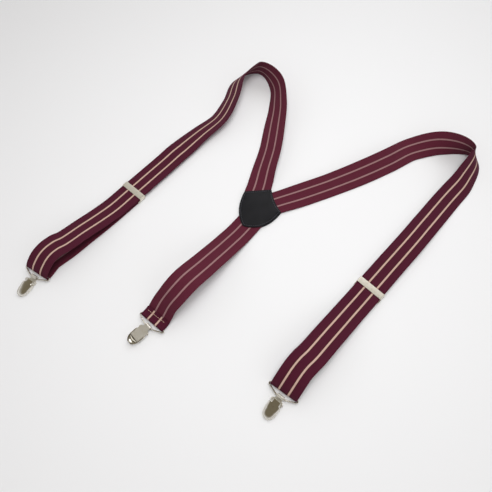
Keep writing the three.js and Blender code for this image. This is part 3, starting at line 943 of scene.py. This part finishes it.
def plate_skin():
    """Flat from its free end to the neck, where it narrows, then rolled round the ring's bar. Shallow
    lines are pressed along it: a narrow bell curve at each, which fades out before the pin."""
    count = 161
    roll = ring_wire + lug_play + plate_sheet / 2
    length = plate_end + roll * roll_turn
    distance = np.concatenate([np.linspace(0, plate_end, 70), np.linspace(plate_end, length, 50)[1:]])
    angle = np.maximum(0, distance - plate_end) / roll
    neck = smooth_step(distance, plate_end - 4.6, plate_end - 3.2)
    half = plate_half + (lug_half - plate_half) * neck - np.maximum(0, 1.2 - distance) ** 2 * 0.5
    x = np.linspace(-1, 1, count) * half[:, None]
    y = np.minimum(distance - plate_end, 0) + roll * np.sin(angle)
    z = -roll * np.cos(angle)
    held = smooth_step(distance, 1.2, 2.2) * (1 - smooth_step(distance, plate_end - 9.2, plate_end - 8.4))
    dips = sum(np.exp(-(((x - line) / line_width) ** 2)) for line in pressed_lines)
    level = z[:, None] + line_depth * dips * held[:, None]
    middle = np.dstack([-x, np.repeat(y[:, None], count, 1), level])
    return sheet_metal(middle, plate_sheet)


def punched(outline, hole, radius, thickness, steps=64):
    """A flat sheet with a round hole: at each angle about the hole, a closed section that runs from the
    hole to the outline and back. Points are across, up and through the sheet."""
    outline = spaced(np.asarray(outline, float), 0.15, closed=True) - hole
    bearing = np.arctan2(outline[:, 1], outline[:, 0])
    order = np.argsort(bearing)
    angle = np.linspace(-np.pi, np.pi, steps, endpoint=False)
    reach = np.interp(angle, bearing[order], np.linalg.norm(outline, axis=1)[order], period=2 * np.pi)
    spoke = np.stack([np.cos(angle), np.sin(angle)], 1)
    inner, outer = hole + spoke * radius, hole + spoke * reach[:, None]
    half = thickness / 2
    rows = [np.column_stack([side, 0 * angle + level]) for side, level in
            ((inner, half), (outer, half), (outer, -half), (inner, -half))]
    return loft(np.stack(rows, 1), ring=True)


def clip_ear(side):
    """An ear of the plate: upright, round-cornered, with the pin's hole. It stands at the plate's
    edge."""
    foot = -(ring_wire + lug_play) - 0.5
    back, front = -pin_ahead - ear_half, -pin_ahead + ear_half
    corners = [[back, foot], [front, foot], [front, ear_top], [back, ear_top]]
    outline = rounded(corners, [0, 0, 0.7, 0.7], closed=True)
    hole = [-pin_ahead, pin_height + hole_lift]
    points, faces = punched(outline, hole, pin_radius + pin_play, plate_sheet)
    y, z, x = points.T
    return np.stack([side * (plate_half - plate_sheet / 2) + x, y, z], 1), faces


def rod_along_x(radius, half, y, z, dome=0.25, sides=24):
    """A round bar along X with domed ends: circles that shrink over the last bit of each end."""
    x = np.array([-half, -half + dome * 0.3, -half + dome, half - dome, half - dome * 0.3, half])
    size = radius * np.array([0.55, 0.85, 1, 1, 0.85, 0.55])
    angle = np.linspace(0, 2 * np.pi, sides, endpoint=False)
    rows = np.dstack([np.repeat(x[:, None], sides, 1), y + size[:, None] * np.cos(angle),
                      z + size[:, None] * np.sin(angle)])
    return loft(rows)


def left_at(share, bluntness):
    """What is left of a width after a share of the way to the tip, as in a blunt ellipse: 1 less the
    share to the power of the bluntness, to the power of 1 over it."""
    return np.maximum(0, 1 - share**bluntness) ** (1 / bluntness)


def cover_skin():
    """A squared arch from the pin to the tip. Across, it is a superellipse, whose sine and cosine are
    raised to a power below 1. It narrows between the ears, with its rim above the plate, and rounds off
    past the shoulder."""
    half = cover_half - cover_sheet / 2
    tip = clip_length - cover_sheet / 2
    u = np.linspace(-1, 1, 81)
    v = np.linspace(0, 1, 90)[:, None]
    start = pin_ahead - 1.1 + 3.0 * abs(u) ** 5
    distance = start + (1 - (1 - v) ** 1.25) * (tip - start - 0.12)
    starts = (shoulder, slope_start)
    share, drop = (np.maximum(0, (distance - begin) / (tip - begin)) for begin in starts)
    power = 2 / (4.6 - 2.2 * np.clip((distance - 10) / 9, 0, 1))
    angle = np.sign(u) * abs(u) ** 1.3 * np.pi / 2
    waist = 1 - 0.3 * (1 - smooth_step(distance, 9.0, 11.2))
    x = np.sign(u) * abs(np.sin(angle)) ** power * half * left_at(share, 2.3) * waist
    low = cover_rim + 0.85 * (1 - smooth_step(distance, 10.4, 11.6))
    z = low + abs(np.cos(angle)) ** power * (cover_top - cover_sheet / 2 - low) * left_at(drop, 2.1)
    return sheet_metal(np.dstack([x, -distance, z]), cover_sheet)


def knuckle_skin():
    """The cover's upper end, rolled round the pin: an open roll through 300 degrees."""
    angle = np.radians(np.linspace(-150, 150, 40))[:, None]
    x = np.linspace(-knuckle_half, knuckle_half, 12) + 0 * angle
    radius = pin_radius + 0.05 + knuckle_sheet / 2
    y = radius * np.sin(angle) - pin_ahead + 0 * x
    z = radius * np.cos(angle) + pin_height + 0 * x
    return sheet_metal(np.dstack([x, y, z]), knuckle_sheet)


def grip_skin():
    """A crescent of plastic across the cover's nose: its edge facing the plate is cut into teeth."""
    x = np.linspace(-grip_half, grip_half, 121)
    bulge = 1 - (x / grip_half) ** 2
    tooth = 0.28 * abs((x / grip_tooth + 0.5) % 1 - 0.5) * 2
    near = -(21.1 + 0.9 * bulge + tooth * bulge)
    far = near - 0.35 - 1.0 * bulge
    low, high = cover_rim + 0.2, cover_rim + 1.6
    corners = ((near, high), (far, high), (far, low), (near, low))
    return loft(np.stack([np.stack([x, y, 0 * x + z], 1) for y, z in corners], 1))


def grip_plastic():
    """Milky plastic, a little yellowed, with faint moulding marks."""
    plastic = Finish("grip_plastic")
    where = plastic.node("TexCoord", {}, {})["Object"]
    cloud = plastic.noise(where, 500)
    bump = plastic.node("Bump", {}, {"Strength": 0.3, "Distance": 0.00005, "Height": cloud})["Normal"]
    colour = plastic.mix(cloud, dye(224, 220, 206), dye(206, 198, 182))
    return plastic.done({"Base Color": colour, "Roughness": 0.35 + 0.2 * cloud, "Normal": bump})


milky_plastic = grip_plastic()
plated_sheet = nickel("plated_sheet", (240, 236, 226), 0.3, (1, 1, 1), 1400, 0.00003, 0.8)
for side in ("left", "right", "back"):
    bar = place_at(side + "_clip_swing")
    pin = place_at(side + "_cover_hinge", rings[side][2])
    clip = np.vstack([bar[0], pin[1:]])
    body, cover = side + "_clip", side + "_clip_cover"
    skins = [plate_skin(), clip_ear(-1), clip_ear(1)]
    fitted(body + "_plate", skins, clip, plated_sheet, body + "_back_plate", body, bevel=0.12)
    skins = [rod_along_x(pin_radius, cover_half + 0.4, -pin_ahead, pin_height)]
    fitted(body + "_pin", skins, clip, bright_nickel, body + "_hinge_pin", body)
    skins = [cover_skin(), knuckle_skin()]
    fitted(body + "_shell", skins, clip, bright_nickel, cover, cover, bevel=0.15)
    name, node = body + "_jaw_lining", body + "_grip"
    fitted(name, [grip_skin()], clip, milky_plastic, node, cover, 0.12)


# ---- Adjusters ----
# A narrow stamped bridge over the strap, its two ends bent down into ears. A flat bar behind it holds
# the webbing's sewn end, and a toothed lever on a rod under it nips the strap.
buckle_length = 8.4
buckle_sheet = 0.8
plate_under = front_lift + webbing_thickness + clearance
plate_top = plate_under + buckle_sheet
rod_radius = 0.7
rod_height = front_lift - clearance - rod_radius - buckle_sheet / 2
lever_reach = 7.5
lever_teeth = 14
outer = half_width + clearance + buckle_sheet
bend_radius = 1.5
bend_foot = plate_top - bend_radius - 0.6


def bridge_skin():
    """The plate between the ears, bent down through a quarter turn at each end."""
    half, top = outer - buckle_sheet / 2, plate_top - buckle_sheet / 2
    corners = [[-half, bend_foot], [-half, top], [half, top], [half, bend_foot]]
    bend = bend_radius - buckle_sheet / 2
    path = spaced(rounded(corners, [0, bend, bend, 0]), 0.35)
    y = np.linspace(-1, 1, 17) * buckle_length / 2
    x, z = path.T
    crown = 0.12 * (1 - (2 * y / buckle_length) ** 2)
    flat = smooth_step(z, top - 0.5, top)[:, None]
    middle = np.dstack([x[:, None] + 0 * y, y + 0 * x[:, None], z[:, None] + crown * flat - 0.12])
    return sheet_metal(middle, buckle_sheet)


def ear_skin(side):
    """An ear with the lever rod's hole, and a tail behind that takes the rear bar."""
    front, foot = buckle_length / 2, bar_height - bar_thickness / 2 - 0.8
    back, shelf = -bar_behind - bar_width / 2 - 0.9, bar_height + bar_thickness / 2 + 0.8
    corners = [[back, foot], [front, foot + 0.4], [front, bend_foot], [-front, bend_foot],
               [-front, shelf], [back, shelf]]
    outline = rounded(corners, [0.6, 0.9, 0, 0, 0.3, 0.8], closed=True, steps=5)
    points, faces = punched(outline, [lever_ahead, rod_height], rod_radius + 0.15, buckle_sheet, 160)
    y, z, x = points.T
    return np.stack([side * (outer - buckle_sheet / 2) + x, y, z], 1), faces


def flat_bar(half, y, z, width, thickness):
    """A bar along X with rounded edges and slightly upset ends."""
    corners = np.array([[-1, -1], [1, -1], [1, 1], [-1, 1]]) * [width / 2, thickness / 2]
    section = rounded(corners, [0.3] * 4, closed=True, steps=4)
    x = np.array([-half, -half + 0.15, half - 0.15, half])
    size = np.array([0.9, 1, 1, 0.9])
    rows = section[None] * size[:, None, None]
    rows = np.dstack([np.repeat(x[:, None], len(section), 1), y + rows[..., 0], z + rows[..., 1]])
    return loft(rows)


def lever_blade():
    """A flat blade from its rod to a front edge that is cut into teeth, a triangle wave across it."""
    half = half_width - 1.5
    x = np.linspace(-half, half, lever_teeth * 8 + 1)
    tooth = abs((x + half) / (2 * half) * lever_teeth % 1 - 0.5) * 2
    y = lever_ahead + np.stack([0 * x, 0 * x + lever_reach - 1, lever_reach - tooth], 1)
    low, high = rod_height - buckle_sheet / 2, rod_height + buckle_sheet / 2
    rows = np.concatenate([np.dstack([x[:, None] + 0 * y, y, 0 * y + high]),
                           np.dstack([x[:, None] + 0 * y, y, 0 * y + low])[:, ::-1]], 1)
    return loft(rows)


for side, adjuster in adjusters.items():
    body = side + "_adjuster"
    skins = [bridge_skin(), ear_skin(-1), ear_skin(1)]
    fitted(body + "_bridge", skins, adjuster, satin_nickel, body + "_frame", body, bevel=0.15)
    skins = [flat_bar(outer + 0.2, -bar_behind, bar_height, bar_width, bar_thickness)]
    fitted(body + "_bar", skins, adjuster, bright_nickel, body + "_rear_bar", body)
    skins = [lever_blade(), rod_along_x(rod_radius, outer + 0.3, lever_ahead, rod_height)]
    name, node, lever = body + "_toothed_lever", body + "_lever", side + "_lever"
    fitted(name, skins, adjuster, bright_nickel, node, lever, bevel=0.1)
